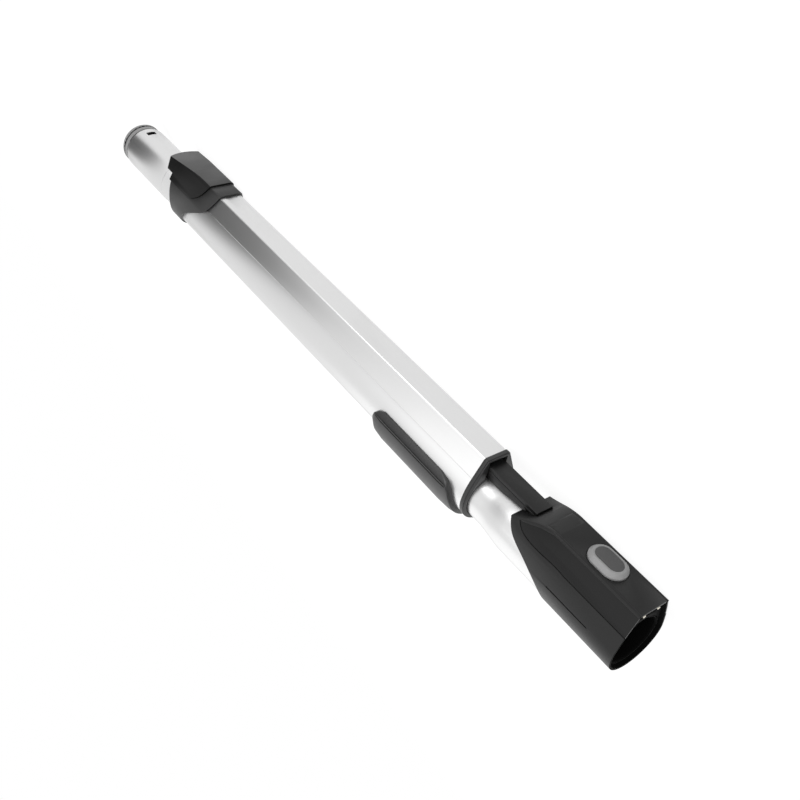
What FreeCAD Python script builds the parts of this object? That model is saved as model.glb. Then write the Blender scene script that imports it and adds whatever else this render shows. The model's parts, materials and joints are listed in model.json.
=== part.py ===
import FreeCAD, Part
import math
import os

# Telescopic vacuum wand, closed to its shortest length and lying at rest.
# All lengths are in millimetres.
# The pieces are drawn with the wand along X, its upper (handle) end at X = 0,
# its top along +Z and the tube axis on Y = 0, Z = 0.
# place() then lays every piece down the way the wand comes to rest.

V = FreeCAD.Vector

# The wand as a whole
WAND_LENGTH = 586.0
COUPLING_LENGTH = 100.0
BARE_LENGTH = 23.0
TRIM_LENGTH = 3.5
ROLL = -115.5
REST_HEIGHT = 23.09
REST_SHIFT = -1.96

# Upper tube, the end that goes into the handle
UPPER_RADIUS = 18.0
UPPER_WALL = 0.8
UPPER_START = 11.0
UPPER_END = 140.0
UPPER_FIT_END = 72.0
UPPER_BODY_RADIUS = 17.75
CATCH_SLOT_START = 16.2
CATCH_SLOT_LENGTH = 4.6
CATCH_SLOT_WIDTH = 7.5

# End bush
BUSH_RADIUS = 17.3
BUSH_BORE = 16.0
BUSH_SLEEVE_END = 40.0
BUSH_GROOVE_DEPTH = 1.3

# Outer tube, an extruded keystone section
OUTER_START = 97.0
HOUSING_FRONT = WAND_LENGTH - COUPLING_LENGTH
TRIM_END = HOUSING_FRONT - BARE_LENGTH
OUTER_END = TRIM_END - TRIM_LENGTH
OUTER_WALL = 0.8
OUTER_TOP = 30.0
OUTER_TOP_HALF = 8.5
OUTER_CORNER = 1.3
OUTER_BOTTOM_RADIUS = 19.1
FLANK_LINE_Y = 14.9
FLANK_LINE_Z = 16.4
FLANK_LINE_STEP = 0.35
SHOULDER_Y = 19.0
SHOULDER_Z = 2.0

# Collar and release slider
COLLAR_WALL = 1.5
SLIDER_NOSE = 73.0
SLIDER_END = 134.8
SLIDER_TRAVEL = 6.0
SLIDER_SKIRT_Z = 14.8
STRIP_WIDTH = 6.0
STRIP_THICKNESS = 0.8
STRIP_Z = 26.4
FORK_HALF = 5.4
FORK_GAP = 4.4
SPRING_WIRE = 0.35

# Lower end of the outer tube
TRIM_PROUD = 0.4
GUIDE_LENGTH = 59.5
GUIDE_START = OUTER_END - GUIDE_LENGTH
CATCH_DEPTH = 14.5
CATCH_X = OUTER_END - CATCH_DEPTH

# Parking clip
CLIP_SETBACK = 3.5
CLIP_LENGTH = 85.0
CLIP_END = OUTER_END - CLIP_SETBACK
CLIP_START = CLIP_END - CLIP_LENGTH
CLIP_RADIUS = 24.0
CLIP_TOP_Z = 6.4
CLIP_RIVETS = (CLIP_START + 21.0, CLIP_END - 24.0)
RIVET_RADIUS = 1.9

# Inner tube and its rail
INNER_RADIUS = 16.5
INNER_WALL = 0.8
INNER_START = 48.0
FLARE_LENGTH = 23.0
FLARE_END = HOUSING_FRONT + 8.0
FLARE_START = FLARE_END - FLARE_LENGTH
FLARE_RADIUS = 18.6
INNER_END = HOUSING_FRONT + 60.0
RAIL_START = 160.0
RAIL_END = HOUSING_FRONT + 18.0
RAIL_TOP = 25.0
RAIL_HALF = 6.2
NOTCH_PITCH = 18.0
NOTCH_COUNT = 16
NOTCH_DEPTH = 1.5
NOTCH_WIDTH = 4.0
RAIL_RIVETS = (RAIL_START + 10.0, RAIL_START + 160.0, RAIL_END - 42.0)
WIRE_RADIUS = 0.6
WIRE_Y = 3.95
WIRE_Z = 20.15

# Coupling housing, the end that takes the nozzle
HOUSING_TOP = 30.0
HOUSING_TOP_HALF = 11.2
HOUSING_CORNER = 1.2
HOUSING_SHOULDER_Y = 19.5
HOUSING_SHOULDER_Z = 3.5
HOUSING_BOTTOM_RADIUS = 19.8
COVER_THICKNESS = 1.6
PANEL_DEPTH = 1.0
PANEL_LOW_Z = 15.0
PANEL_GAP = 0.25
SLOT_LINE_START = HOUSING_FRONT + 48.0
SLOT_LINE_LENGTH = 32.0
SLOT_LINE_END = SLOT_LINE_START + SLOT_LINE_LENGTH
SLOT_LINE_Z = 2.6
SOCKET_RADIUS = 16.25
SOCKET_START = FLARE_END + 6.0
MOUTH_DEPTH = 2.5
SOCKET_END = WAND_LENGTH - MOUTH_DEPTH
MOUTH_WALL = 1.3
CHAMBER_START = RAIL_END + 14.0
CHAMBER_HALF = 8.4
CHAMBER_FLOOR = 19.4

# Button, latch and contacts
BUTTON_X = WAND_LENGTH - 34.0
BUTTON_SPRING_X = BUTTON_X - 7.5
BUTTON_HALF_LENGTH = 12.6
BUTTON_HALF_WIDTH = 8.4
BUTTON_TOP = 33.2
BUTTON_TRAVEL = 2.0
PAD_HALF_LENGTH = 9.2
PAD_HALF_WIDTH = 4.8
LATCH_PIVOT_X = BUTTON_X + 11.0
LATCH_PIVOT_Z = 22.6
LATCH_ARM = 12.0
LATCH_HOOK_Z = 16.5
KEYWAY_HALF = 4.3
KEYWAY_START = LATCH_PIVOT_X - 3.0
PIN_RADIUS = 1.0
CONTACT_START = WAND_LENGTH - 9.0
PIN_START = CONTACT_START - 2.5
CONTACT_Y = 5.6
CONTACT_Z = 26.0


def place(shape):
    """Lay a piece down as the wand rests, centred over the origin."""
    laid = shape.copy()
    laid.rotate(V(0, 0, 0), V(1, 0, 0), ROLL)
    laid.translate(V(-WAND_LENGTH / 2, REST_SHIFT, REST_HEIGHT))
    return laid


def write(name, shape):
    """Store one piece as its own file."""
    place(shape).exportStep("parts/" + name + ".step")


def block(x1, x2, y1, y2, z1, z2):
    """A box between two values on each axis."""
    return Part.makeBox(x2 - x1, y2 - y1, z2 - z1, V(x1, y1, z1))


def rod(radius, x1, x2, y=0.0, z=0.0):
    """A round bar along X."""
    return Part.makeCylinder(radius, x2 - x1, V(x1, y, z), V(1, 0, 0))


def cross_rod(radius, y1, y2, x, z):
    """A round bar along Y."""
    return Part.makeCylinder(radius, y2 - y1, V(x, y1, z), V(0, 1, 0))


def along_x(wire, x1, x2):
    """A section drawn at X = 0, drawn out from x1 to x2."""
    body = Part.Face(wire).extrude(V(x2 - x1, 0, 0))
    body.translate(V(x1, 0, 0))
    return body


def side_cut(points, y1, y2):
    """An outline seen from the side, points (x, z), drawn out from y1 to y2."""
    corners = [V(x, y1, z) for x, z in points]
    wire = Part.makePolygon(corners + [corners[0]])
    return Part.Face(wire).extrude(V(0, y2 - y1, 0))


def smooth_side_cut(curve, corners, y1, y2):
    """A side outline made of one smooth curve closed by straight lines."""
    spline = Part.BSplineCurve()
    spline.interpolate([V(x, y1, z) for x, z in curve])
    ends = [curve[-1]] + corners + [curve[0]]
    line = Part.makePolygon([V(x, y1, z) for x, z in ends])
    wire = Part.Wire([spline.toShape()] + line.Edges)
    return Part.Face(wire).extrude(V(0, y2 - y1, 0))


def plan_cut(wire, z1, z2):
    """A plan outline drawn at Z = 0, drawn out from z1 to z2."""
    body = Part.Face(wire).extrude(V(0, 0, z2 - z1))
    body.translate(V(0, 0, z1))
    return body


def stadium(x, half_length, half_width):
    """A flat oval wire around the point x on the centre line."""
    straight = half_length - half_width
    a = V(x - straight, half_width, 0)
    b = V(x + straight, half_width, 0)
    c = V(x + straight, -half_width, 0)
    d = V(x - straight, -half_width, 0)
    near = Part.Arc(b, V(x + half_length, 0, 0), c).toShape()
    far = Part.Arc(d, V(x - half_length, 0, 0), a).toShape()
    return Part.Wire([Part.makeLine(a, b), near, Part.makeLine(c, d), far])


def turned(points):
    """A ring turned about X, outline points (x, radius)."""
    corners = [V(x, 0, r) for x, r in points]
    wire = Part.makePolygon(corners + [corners[0]])
    return Part.Face(wire).revolve(V(0, 0, 0), V(1, 0, 0), 360)


def coil(radius, wire_radius, pitch, height, start, axis):
    """A coil spring from start along axis, its wire drawn eight-sided to keep it light."""
    path = Part.makeHelix(pitch, height, radius)
    corners = []
    for step in range(9):
        angle = math.radians(45 * step)
        corners.append(V(radius + wire_radius * math.cos(angle), 0, wire_radius * math.sin(angle)))
    ring = Part.makePolygon(corners)
    body = Part.Wire(path.Edges).makePipeShell([ring], True, True)
    turn = FreeCAD.Rotation(V(0, 0, 1), axis)
    body.Placement = FreeCAD.Placement(start, turn)
    return body


def keystone(step):
    """The outer tube's section: flat top, straight flanks, round bottom.

    step is how far the flanks lie back above the line along their middle,
    0 for none.
    """
    r = OUTER_CORNER
    slope = math.atan2(FLANK_LINE_Y - OUTER_TOP_HALF, OUTER_TOP - FLANK_LINE_Z)
    reach = r * math.tan((math.pi / 2 - slope) / 2)
    top = V(0, OUTER_TOP_HALF - reach, OUTER_TOP)
    side = V(0, OUTER_TOP_HALF + reach * math.sin(slope), OUTER_TOP - reach * math.cos(slope))
    bend = V(0, OUTER_TOP_HALF - 0.28 * reach, OUTER_TOP - 0.28 * reach)
    foot = V(0, FLANK_LINE_Y - step, FLANK_LINE_Z)
    lip = V(0, FLANK_LINE_Y, FLANK_LINE_Z)
    mid = V(0, 17.55, 9.6)
    shoulder = V(0, SHOULDER_Y, SHOULDER_Z)
    top = V(0, top.y - step, top.z)
    bend = V(0, bend.y - step, bend.z)
    side = V(0, side.y - step, side.z)
    half = [Part.Arc(top, bend, side).toShape(), Part.makeLine(side, foot)]
    if step > 0:
        half.append(Part.makeLine(foot, lip))
    half.append(Part.Arc(lip, mid, shoulder).toShape())
    other = [edge.mirror(V(0, 0, 0), V(0, 1, 0)) for edge in half]
    across = Part.makeLine(V(0, -top.y, top.z), top)
    low = V(0, 0, -OUTER_BOTTOM_RADIUS)
    under = Part.Arc(shoulder, low, V(0, -shoulder.y, shoulder.z)).toShape()
    return Part.Wire(Part.__sortEdges__([across] + half + [under] + other))


def coupling_section():
    """The coupling housing's section: flat top, sloping sides, round bottom."""
    r = HOUSING_CORNER
    wide = HOUSING_SHOULDER_Y - HOUSING_TOP_HALF
    slope = math.atan2(wide, HOUSING_TOP - HOUSING_SHOULDER_Z)
    reach = r * math.tan((math.pi / 2 - slope) / 2)
    top = V(0, HOUSING_TOP_HALF - reach, HOUSING_TOP)
    side = V(0, HOUSING_TOP_HALF + reach * math.sin(slope), HOUSING_TOP - reach * math.cos(slope))
    bend = V(0, HOUSING_TOP_HALF - 0.28 * reach, HOUSING_TOP - 0.28 * reach)
    bow = V(0, (side.y + HOUSING_SHOULDER_Y) / 2 + 0.7, (side.z + HOUSING_SHOULDER_Z) / 2)
    shoulder = V(0, HOUSING_SHOULDER_Y, HOUSING_SHOULDER_Z)
    half = [Part.Arc(top, bend, side).toShape(), Part.Arc(side, bow, shoulder).toShape()]
    other = [edge.mirror(V(0, 0, 0), V(0, 1, 0)) for edge in half]
    across = Part.makeLine(V(0, -top.y, top.z), top)
    low = V(0, 0, -HOUSING_BOTTOM_RADIUS)
    under = Part.Arc(shoulder, low, V(0, -shoulder.y, shoulder.z)).toShape()
    return Part.Wire(Part.__sortEdges__([across] + half + [under] + other))


def grown(wire, distance):
    """The same section with its outline moved out, or in where negative."""
    return wire.makeOffset2D(distance)


def make_upper_tube():
    """Round aluminium tube, sized for the handle's socket, with a catch slot."""
    tube = rod(UPPER_RADIUS, UPPER_START, UPPER_FIT_END).fuse(rod(UPPER_BODY_RADIUS, UPPER_START, UPPER_END))
    tube = tube.cut(rod(UPPER_RADIUS - UPPER_WALL, UPPER_START - 1, UPPER_END + 1))
    half = CATCH_SLOT_WIDTH / 2
    end = CATCH_SLOT_START + CATCH_SLOT_LENGTH
    return tube.cut(block(CATCH_SLOT_START, end, -half, half, 5, 25))


def make_end_bush():
    """Plastic bush that lines the tube's end, with two grooves round its lip."""
    low = BUSH_RADIUS - BUSH_GROOVE_DEPTH
    sleeve = UPPER_RADIUS - UPPER_WALL - 0.02
    outline = [(0.0, BUSH_BORE + 0.4), (0.8, BUSH_RADIUS - 0.5), (1.6, BUSH_RADIUS)]
    outline += [(3.2, BUSH_RADIUS), (3.5, low), (4.8, low), (5.1, BUSH_RADIUS)]
    outline += [(8.6, BUSH_RADIUS), (8.9, low + 0.2), (UPPER_START, low + 0.2)]
    outline += [(UPPER_START, sleeve), (BUSH_SLEEVE_END, sleeve)]
    outline += [(BUSH_SLEEVE_END, sleeve - 0.3), (BUSH_SLEEVE_END - 2, BUSH_BORE), (0.6, BUSH_BORE)]
    bush = turned(outline)
    half = CATCH_SLOT_WIDTH / 2 + 0.5
    end = CATCH_SLOT_START + CATCH_SLOT_LENGTH
    return bush.cut(block(CATCH_SLOT_START - 0.5, end + 0.5, -half, half, BUSH_BORE + 0.5, 25))


def make_outer_tube():
    """Extruded keystone tube with a fine lip along each flank."""
    tube = along_x(keystone(FLANK_LINE_STEP), OUTER_START, OUTER_END)
    hollow = along_x(grown(keystone(0), -OUTER_WALL), OUTER_START - 1, OUTER_END + 1)
    tube = tube.cut(hollow)
    tube = tube.cut(block(OUTER_START - 1, 128, -4.2, 4.2, OUTER_TOP - 3, OUTER_TOP + 2))
    tube = tube.cut(above_lining(0.3))
    for x in CLIP_RIVETS:
        tube = tube.cut(clip_rivet(x, 1, 0.02)).cut(clip_rivet(x, -1, 0.02))
    return tube


def slider_side(grow):
    """The release slider seen from the side, made larger all round by grow."""
    g = grow
    top = [(SLIDER_NOSE - g, 40.0), (SLIDER_END + g, 40.0)]
    curve = [(SLIDER_END + g, 31.0), (131.8 + g, 25.8 - g * 0.5), (128.2 + g, 21.3 - g * 0.7)]
    curve += [(124.8 + g * 0.7, 18.7 - g), (119.6, 16.1 - g), (113.0, 15.0 - g), (107.0, SLIDER_SKIRT_Z - g)]
    rest = [(86.8, SLIDER_SKIRT_Z - g), (86.8, 20.0 - g), (SLIDER_NOSE + 2.0, 20.0 - g), (SLIDER_NOSE - g, 24.0)]
    return smooth_side_cut(curve, rest + top, -30, 30)


def above_lining(drop):
    """All that lies above the slider's underside, lowered by drop."""
    x1 = SLIDER_NOSE - 8
    x2 = SLIDER_END + 0.3
    curve = [(x1, 25.2), (85.0, 27.6), (92.0, 28.6), (100.0, 29.4), (118.0, 30.3), (x2, 30.85)]
    lowered = [(x, z - drop) for x, z in curve]
    return smooth_side_cut(lowered, [(x2, 60.0), (x1, 60.0)], -30, 30)


def slider_mass(grow):
    """The slider's outside as a full block, without its hollow."""
    side = grown(keystone(0), COLLAR_WALL + 1.0 + grow)
    skirt = along_x(side, SLIDER_NOSE - 5, SLIDER_END + 5)
    roof_curve = [(SLIDER_NOSE - 6, 27.4), (85.0, 29.4), (100.0, 31.0), (115.0, 32.0), (SLIDER_END + 6, 32.9)]
    roof = smooth_side_cut(roof_curve, [(SLIDER_END + 6, 0.0), (SLIDER_NOSE - 6, 0.0)], -30, 30)
    body = skirt.common(roof).common(slider_side(grow))
    nose = Part.makeCylinder(24.0, 80, V(SLIDER_NOSE + 24.0 - grow, 0, -5), V(0, 0, 1))
    rear = block(SLIDER_NOSE + 12, 150, -30, 30, -5, 75)
    return body.common(nose.fuse(rear))


def make_collar():
    """Moulded collar that joins both tubes and carries the release slider."""
    body = along_x(grown(keystone(0), COLLAR_WALL), 80, 152)
    near = [(152.0, 40.0), (149.5, 31.5), (147.6, 27.0), (145.0, 22.0), (140.5, 15.3), (132.0, 10.0)]
    near += [(122.4, 4.9), (114.4, -0.5), (108.0, -8.0), (104.0, -14.0), (102.0, -20.0), (101.5, -30.0)]
    body = body.common(smooth_side_cut(near, [(60.0, -30.0), (60.0, 40.0)], -30, 30))
    far = [(87.8, 40.0), (87.5, 17.0), (89.6, 8.0), (91.8, 1.0), (92.6, -6.0), (91.2, -13.0), (89.0, -30.0)]
    body = body.cut(smooth_side_cut(far, [(60.0, -30.0), (60.0, 40.0)], -30, 30))
    body = body.cut(rod(UPPER_BODY_RADIUS + 0.02, 60, 160))
    body = body.cut(along_x(grown(keystone(0), 0.02), OUTER_START, 160))
    recess = along_x(grown(keystone(0), 8), 60, SLIDER_END + 0.3)
    lining = along_x(grown(keystone(0), 0.75), 60, SLIDER_END + 0.3)
    body = body.cut(recess.common(slider_side(0.25)).cut(lining))
    body = body.cut(above_lining(0.3))
    pocket = block(92, 128, -7.0, 7.0, 18.5, 40)
    return body.cut(pocket)


def make_slider():
    """Release slider: a saddle over the collar with a lug for the pull strip."""
    body = slider_mass(0.0)
    hollow = along_x(grown(keystone(0), COLLAR_WALL - 0.5), SLIDER_NOSE - 5, SLIDER_END + 1)
    body = body.cut(hollow.cut(above_lining(0.0)))
    lug = block(108, 113, -3.6, 3.6, 22.2, 30.4)
    slot = block(107, 114, -3.1, 3.1, STRIP_Z - 0.05, STRIP_Z + STRIP_THICKNESS + 0.05)
    return body.fuse(lug).cut(slot).removeSplitter()


def make_pull_strip():
    """Steel strip from the slider to the catch, forked round the leaf's tip.

    A cross bar joins the fork's ends below the leaf's turned-up end, so the
    strip lifts the tip out of its notch when the slider draws it back.
    """
    half = STRIP_WIDTH / 2
    top = STRIP_Z + STRIP_THICKNESS
    strip = block(105, CATCH_X - 25, -half, half, STRIP_Z, top)
    hook = block(113.1, 114.1, -half, half, STRIP_Z - 1.4, top)
    fork = block(CATCH_X - 32.5 + SLIDER_TRAVEL, CATCH_X + 8, -FORK_HALF, FORK_HALF, STRIP_Z, top)
    fork = fork.cut(block(CATCH_X - 25, CATCH_X + 6.5, -FORK_GAP, FORK_GAP, 20, 30))
    bar = block(CATCH_X + 6.5, CATCH_X + 8, -FORK_HALF, FORK_HALF, STRIP_Z - 1.0, top)
    return strip.fuse(hook).fuse(fork).fuse(bar).removeSplitter()


def make_slider_spring():
    """Coil spring that holds the slider towards the wand's lower end."""
    return coil(2.3, SPRING_WIRE, 3.04, 15.2, V(92.4, 0, 22.6), V(1, 0, 0))


def make_trim_ring():
    """Dark ring that closes the outer tube's lower end."""
    ring = along_x(grown(keystone(0), TRIM_PROUD), OUTER_END, TRIM_END)
    nose = along_x(grown(keystone(0), -0.3), OUTER_END, TRIM_END + 1)
    ring = ring.common(along_x(grown(keystone(0), TRIM_PROUD), OUTER_END, TRIM_END - 0.8).fuse(nose))
    ring = ring.cut(rod(INNER_RADIUS + 0.35, OUTER_END - 5, TRIM_END + 5))
    mouth = block(OUTER_END - 9.5, TRIM_END + 7, -RAIL_HALF - 0.7, RAIL_HALF + 0.7, 10, OUTER_TOP - 1.4)
    return ring.cut(mouth).removeSplitter()


def make_lower_guide():
    """Plastic guide inside the outer tube's end, close round tube and rail."""
    fill = grown(keystone(0), -OUTER_WALL - 0.05)
    guide = along_x(fill, GUIDE_START, OUTER_END)
    guide = guide.cut(rod(INNER_RADIUS + 0.3, GUIDE_START - 1, OUTER_END + 1))
    guide = guide.cut(block(GUIDE_START - 1, OUTER_END + 1, -RAIL_HALF - 0.3, RAIL_HALF + 0.3, 10, RAIL_TOP + 0.3))
    guide = guide.cut(block(CATCH_X - 33, OUTER_END + 1, -6.2, 6.2, 24, OUTER_TOP))
    gap = STRIP_WIDTH / 2 + 0.3
    top = STRIP_Z + STRIP_THICKNESS + 0.2
    guide = guide.cut(block(GUIDE_START - 1, CATCH_X - 32, -gap, gap, STRIP_Z - 0.3, top))
    guide = guide.cut(block(GUIDE_START + 2.15, CATCH_X - 32, -4.02, 4.02, 27.88, 28.37))
    for x in CLIP_RIVETS:
        guide = guide.cut(clip_rivet(x, 1, 0.05)).cut(clip_rivet(x, -1, 0.05))
    return guide


def make_catch_leaf():
    """Spring steel leaf whose bent tip drops into the rail's notches."""
    under = [(GUIDE_START + 2.2, 27.9), (CATCH_X - 31, 27.9), (CATCH_X - 3.5, 25.9), (CATCH_X - 1.4, 23.7)]
    under += [(CATCH_X + 1.4, 23.7), (CATCH_X + 5.6, 27.6)]
    over = [(CATCH_X + 5.2, 27.9), (CATCH_X + 1.1, 24.2), (CATCH_X - 1.1, 24.2), (CATCH_X - 3.2, 26.4)]
    over += [(CATCH_X - 31, 28.35), (GUIDE_START + 2.2, 28.35)]
    return side_cut(under + over, -4.0, 4.0)


def clip_outline():
    """The parking clip seen from the side: its upper edge and both ends."""
    side = [(CLIP_START + 1, CLIP_TOP_Z - 9), (CLIP_START + 3.5, CLIP_TOP_Z - 3.5)]
    side += [(CLIP_START + 9.5, CLIP_TOP_Z), (CLIP_END - 17.0, CLIP_TOP_Z), (CLIP_END - 9.5, CLIP_TOP_Z - 1.6)]
    side += [(CLIP_END - 5.0, CLIP_TOP_Z - 5.5), (CLIP_END - 2.5, -6.0), (CLIP_END - 1.0, -14.0)]
    side += [(CLIP_END - 0.5, -40.0), (CLIP_START, -40.0)]
    return side


def make_parking_clip():
    """Saddle under the outer tube, with the hook that hangs on the cleaner."""
    skirt = turned([
        (CLIP_START, 15.0), (CLIP_START, 20.5), (CLIP_START + 5.0, 23.2), (CLIP_START + 12.0, CLIP_RADIUS),
        (CLIP_END - 14.0, CLIP_RADIUS), (CLIP_END - 5.0, 23.5), (CLIP_END, 22.4), (CLIP_END, 15.0)])
    low = CLIP_TOP_Z - 3.2
    shelf = side_cut(clip_outline(), -30, 30)
    body = skirt.common(shelf)
    x = CLIP_START - 11
    slant = Part.makePolygon([V(x, -30, 9.0), V(x, -22.6, low), V(x, -16.5, 9.0), V(x, -30, 9.0)])
    wedge = Part.Face(slant).extrude(V(CLIP_LENGTH + 25, 0, 0))
    crease = block(CLIP_START + 6, CLIP_END - 8, -24.6, -22.4, low - 0.7, low + 0.05)
    mirror_wedge = wedge.mirror(V(0, 0, 0), V(0, 1, 0))
    mirror_crease = crease.mirror(V(0, 0, 0), V(0, 1, 0))
    body = body.cut(wedge).cut(mirror_wedge).cut(crease).cut(mirror_crease)
    hook = [(CLIP_START + 9, -20), (CLIP_END - 20, -20), (CLIP_END - 8, -28.5), (CLIP_END - 11, -30)]
    hook += [(CLIP_END - 26, -27.5), (CLIP_START + 15, -26)]
    body = body.fuse(side_cut(hook, -4.5, 4.5))
    body = body.cut(along_x(grown(keystone(0), 0.02), CLIP_START - 31, CLIP_END + 14))
    for x in CLIP_RIVETS:
        for y in (-1, 1):
            body = body.cut(clip_rivet(x, y, 0.02))
    return body


def clip_rivet(x, side, grow):
    """One rivet that holds the clip, its axis square to the tube's lower side."""
    angle = math.radians(-32)
    out = V(0, side * math.cos(angle), math.sin(angle))
    return Part.makeCylinder(RIVET_RADIUS + grow, 6.2, V(x, 0, 0) + out * 17.3, out)


def make_clip_rivets():
    """The four blind rivets of the parking clip."""
    rivets = [clip_rivet(x, y, 0.0) for x in CLIP_RIVETS for y in (-1, 1)]
    return Part.makeCompound(rivets)


def inner_outline(grow):
    """The inner tube's outer surface as points (x, radius)."""
    steps = []
    count = 8
    for i in range(count + 1):
        t = i / count
        ease = t * t * (3 - 2 * t)
        x = FLARE_START + t * (FLARE_END - FLARE_START)
        steps.append((x, INNER_RADIUS + ease * (FLARE_RADIUS - INNER_RADIUS) + grow))
    return steps


def inner_mass(grow, x1, x2):
    """The inner tube as a full bar between x1 and x2."""
    spline = Part.BSplineCurve()
    spline.interpolate([V(x, 0, r) for x, r in inner_outline(grow)], False, 1e-6)
    start = V(x1, 0, INNER_RADIUS + grow)
    end = V(x2, 0, FLARE_RADIUS + grow)
    edges = [Part.makeLine(V(x1, 0, 0), start), Part.makeLine(start, V(FLARE_START, 0, INNER_RADIUS + grow))]
    edges.append(spline.toShape())
    edges += [Part.makeLine(V(FLARE_END, 0, FLARE_RADIUS + grow), end), Part.makeLine(end, V(x2, 0, 0))]
    edges.append(Part.makeLine(V(x2, 0, 0), V(x1, 0, 0)))
    return Part.Face(Part.Wire(edges)).revolve(V(0, 0, 0), V(1, 0, 0), 360)


def make_inner_tube():
    """Sliding aluminium tube, flared where it enters the coupling housing."""
    tube = inner_mass(0.0, INNER_START, INNER_END)
    tube = tube.cut(inner_mass(-INNER_WALL, INNER_START - 1, INNER_END + 1))
    for x in RAIL_RIVETS:
        tube = tube.cut(rail_rivet(x, 0.02))
    return tube


def make_tube_seal():
    """Plastic ring on the inner tube's hidden end, sliding in the upper tube."""
    bore = INNER_RADIUS - INNER_WALL
    return turned([
        (INNER_START - 6, bore - 0.1), (INNER_START - 6, 16.9), (INNER_START - 4, 17.1), (INNER_START - 1, 17.1),
        (INNER_START - 0.2, 16.6), (INNER_START - 0.2, bore - 0.02), (INNER_START + 12, bore - 0.02),
        (INNER_START + 12, bore - 0.5)])


def make_rail():
    """Plastic rail along the tube: stepped sides and catch notches on top."""
    profile = [(RAIL_HALF, RAIL_TOP - 0.3), (RAIL_HALF - 0.3, RAIL_TOP)]
    low = [(5.5, 10.0), (5.5, 20.2), (6.0, 20.6), (6.0, 21.7), (5.4, 22.0), (5.4, 22.7), (RAIL_HALF, 23.0)]
    right = low + profile
    left = [(-y, z) for y, z in reversed(right)]
    corners = [V(0, y, z) for y, z in right + left]
    rail = along_x(Part.makePolygon(corners + [corners[0]]), RAIL_START, RAIL_END)
    rail = rail.cut(inner_mass(0.02, RAIL_START - 2, RAIL_END + 2))
    rail = rail.cut(block(RAIL_START - 1, RAIL_END + 1, -4.7, 4.7, 19.0, 21.2))
    for i in range(NOTCH_COUNT):
        x = CATCH_X - i * NOTCH_PITCH
        half = NOTCH_WIDTH / 2
        notch = side_cut(
            [(x - half, RAIL_TOP - NOTCH_DEPTH), (x + half, RAIL_TOP - NOTCH_DEPTH),
             (x + half + 1.4, RAIL_TOP + 0.1), (x - half - 1.4, RAIL_TOP + 0.1)], -4.4, 4.4)
        rail = rail.cut(notch)
    for x in RAIL_RIVETS:
        rail = rail.cut(rail_rivet(x, 0.02))
    return rail


def rail_rivet(x, grow):
    """One rivet that holds the rail down, from inside the tube."""
    head = INNER_RADIUS - INNER_WALL - 0.8
    shank = Part.makeCylinder(1.4 + grow, 3.5, V(x, 0, head), V(0, 0, 1))
    return shank.fuse(Part.makeCylinder(2.5, 0.5, V(x, 0, head), V(0, 0, 1)))


def make_rail_rivets():
    """The rivets that hold the rail on the inner tube."""
    return Part.makeCompound([rail_rivet(x, 0.0) for x in RAIL_RIVETS])


def make_lead_wires():
    """The two wires that run through the rail to the contacts."""
    wires = [rod(WIRE_RADIUS, RAIL_START + 4, PIN_START - 0.5, y, WIRE_Z) for y in (-WIRE_Y, WIRE_Y)]
    return Part.makeCompound(wires)


def from_front(points):
    """Side view points, their x measured from the housing's front edge."""
    return [(HOUSING_FRONT + x, z) for x, z in points]


def housing_mass():
    """The coupling housing's outside as a full block."""
    high = HOUSING_TOP
    beyond = COUPLING_LENGTH + 14
    body = along_x(coupling_section(), HOUSING_FRONT - 2, WAND_LENGTH)
    roof = [(-4, high - 12.5), (2, high - 11.7), (8, high - 10.6), (12, high - 9.2), (17.3, high - 6.8)]
    roof += [(25, high - 3), (32, high - 0.9), (42, high)]
    under = [(beyond, high), (beyond, -30), (-16, -30), (-16, high - 12.5)]
    body = body.common(smooth_side_cut(from_front(roof), from_front(under), -30, 30))
    front = [(7.4, 32.0), (7.4, 24), (7.9, 20), (9.6, 16.6), (11.6, 13.9), (14.1, 11.4)]
    front += [(17, 9.5), (20.2, 7.9), (26.5, 5.2), (33, 2), (39, -1.8)]
    front += [(43.5, -6), (47, -12), (49, -20), (50, -30)]
    return body.cut(smooth_side_cut(from_front(front), from_front([(-16, -30), (-16, 32)]), -30, 30))


def panel_zone(grow):
    """Side view of the inset panel, made larger all round by grow."""
    g = grow
    foot = PANEL_LOW_Z - g
    brow = HOUSING_TOP - 1.4 + g
    beyond = COUPLING_LENGTH + 14
    low = [(14 - g, PANEL_LOW_Z + 6), (15.8 - g * 0.7, PANEL_LOW_Z + 3.9 - g * 0.7), (18.4, foot + 2)]
    low += [(22.4, foot + 0.7), (28, foot), (36, foot), (54, foot)]
    top = [(beyond, foot), (beyond, brow), (37, brow), (28, brow - 2.4), (21.5, brow - 5.3), (17, brow - 7)]
    return smooth_side_cut(from_front(low), from_front(top), -30, 30)


def panel_blank(grow, depth):
    """Both panels as a skin of the housing, of the given depth."""
    skin = housing_mass().cut(along_x(grown(coupling_section(), -depth), HOUSING_FRONT - 16, WAND_LENGTH + 14))
    skin = skin.common(panel_zone(grow))
    return skin


def make_panels():
    """The two inset side panels, left and right."""
    skin = panel_blank(-PANEL_GAP, PANEL_DEPTH)
    x1 = HOUSING_FRONT - 16
    x2 = WAND_LENGTH + 14
    skin = skin.common(along_x(grown(coupling_section(), -0.3), x1, x2))
    left = skin.common(block(x1, x2, -30, 0, -30, 40))
    right = skin.common(block(x1, x2, 0, 30, -30, 40))
    return left, right


def cover_zone(grow):
    """The top cover's share of the housing, made larger by grow."""
    half = 9.6 + grow
    return block(CHAMBER_START - 3 - grow, WAND_LENGTH + 1, -half, half, HOUSING_TOP - COVER_THICKNESS - grow, 40)


def button_hole(grow):
    """The oval hole for the button."""
    wire = stadium(BUTTON_X, BUTTON_HALF_LENGTH + grow, BUTTON_HALF_WIDTH + grow)
    return plan_cut(wire, 15, 50)


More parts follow.
